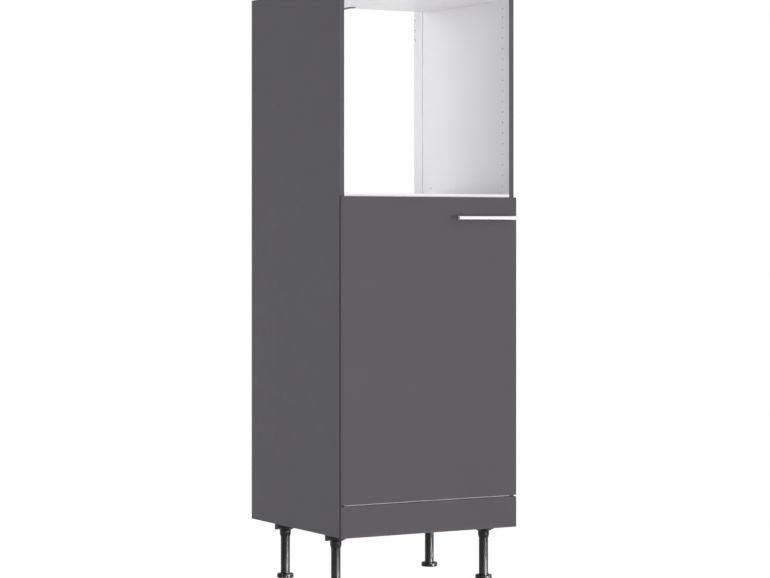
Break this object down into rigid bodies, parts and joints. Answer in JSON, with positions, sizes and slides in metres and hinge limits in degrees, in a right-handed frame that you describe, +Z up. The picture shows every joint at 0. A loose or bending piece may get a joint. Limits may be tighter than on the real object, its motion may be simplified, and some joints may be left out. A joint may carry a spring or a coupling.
{
  "type": "appliance housing cabinet",
  "caption": "Tall anthracite kitchen housing cabinet on black levelling legs, with an open oven niche above a hinged door with a bar handle and a fixed fascia.",
  "frame": {"origin": "on the floor, under the centre of the bounding box", "axes": "+Z up, front towards -Y, +X to the right as seen from the front"},
  "size_m": [0.6, 0.619, 1.773],
  "materials": {
    "white_board": "particle board with white melamine faces, satin",
    "white_edge": "white edge band, satin",
    "anthracite_laminate": "anthracite melamine, matt",
    "anthracite_edge": "anthracite edge band, matt",
    "anthracite_front": "particle board with anthracite melamine faces, satin",
    "zinc": "zinc-plated steel",
    "beech": "plain beech",
    "black_steel": "black, matt",
    "black_plastic": "black moulded plastic",
    "clear_bumper": "clear soft plastic",
    "handle_steel": "brushed stainless steel",
    "hinge_nickel": "nickel-plated steel"
  },
  "bodies": {
    "carcass": {"side_panel_left": "white_board", "side_panel_right": "white_board", "outer_facing_left": "anthracite_laminate", "outer_facing_right": "anthracite_laminate", "side_edge_left": "anthracite_edge", "side_edge_right": "anthracite_edge", "bottom_panel": "white_board", "fridge_floor": "white_board", "oven_shelf": "white_board", "top_panel": "white_board", "inner_edge_strips": "white_edge", "back_panel": "white_board", "rear_rail_lower": "white_board", "rear_rail_upper": "white_board", "cam_housings": "zinc", "cam_bolts": "zinc", "wood_dowels": "beech", "fascia_panel": "anthracite_front", "fascia_edge_band": "anthracite_edge", "fascia_angles": "zinc", "fascia_screws": "zinc", "wall_strap": "black_steel", "wall_strap_screws": "zinc", "leg_plate_screws": "zinc", "hinge_arm_pins": "zinc", "hinge_arm_screws": "zinc", "hinge_plate_screws": "zinc", "leg_plate_front_left": "black_plastic", "leg_tube_front_left": "black_plastic", "leg_plate_front_right": "black_plastic", "leg_tube_front_right": "black_plastic", "leg_plate_rear_left": "black_plastic", "leg_tube_rear_left": "black_plastic", "leg_plate_rear_right": "black_plastic", "leg_tube_rear_right": "black_plastic", "hinge_arm_upper": "hinge_nickel", "hinge_plate_upper": "hinge_nickel", "hinge_arm_lower": "hinge_nickel", "hinge_plate_lower": "hinge_nickel"},
    "hinge_links": {"hinge_link_upper": "hinge_nickel", "hinge_link_lower": "hinge_nickel"},
    "door": {"door_panel": "anthracite_front", "door_edge_band": "anthracite_edge", "door_bumpers": "clear_bumper", "handle_bar": "handle_steel", "handle_post_left": "handle_steel", "handle_post_right": "handle_steel", "handle_screws": "zinc", "hinge_cup_upper": "hinge_nickel", "hinge_cup_lower": "hinge_nickel", "hinge_cup_pins": "zinc", "hinge_cup_screws": "zinc"},
    "foot_front_left": {"foot_front_left": "black_plastic"},
    "foot_front_right": {"foot_front_right": "black_plastic"},
    "foot_rear_left": {"foot_rear_left": "black_plastic"},
    "foot_rear_right": {"foot_rear_right": "black_plastic"}
  },
  "joints": [
    {"name": "hinge_link_turn", "type": "hinge", "parent": "carcass", "child": "hinge_links", "pos_m": [-0.262, -0.2515, 1.06], "axis": [0, 0, 1], "range_deg": [0, 69]},
    {"name": "door_turn", "type": "hinge", "parent": "hinge_links", "child": "door", "pos_m": [-0.283, -0.2625, 1.06], "axis": [0, 0, -1], "range_deg": [0, 163.5]},
    {"name": "foot_front_left_height", "type": "slide", "parent": "carcass", "child": "foot_front_left", "axis": [0, 0, -1], "range_m": [0, 0.02]},
    {"name": "foot_front_right_height", "type": "slide", "parent": "carcass", "child": "foot_front_right", "axis": [0, 0, -1], "range_m": [0, 0.02]},
    {"name": "foot_rear_left_height", "type": "slide", "parent": "carcass", "child": "foot_rear_left", "axis": [0, 0, -1], "range_m": [0, 0.02]},
    {"name": "foot_rear_right_height", "type": "slide", "parent": "carcass", "child": "foot_rear_right", "axis": [0, 0, -1], "range_m": [0, 0.02]}
  ],
  "couplings": [
    {"joint": "hinge_link_turn", "follows": "door_turn", "ratio": 0.42}
  ]
}
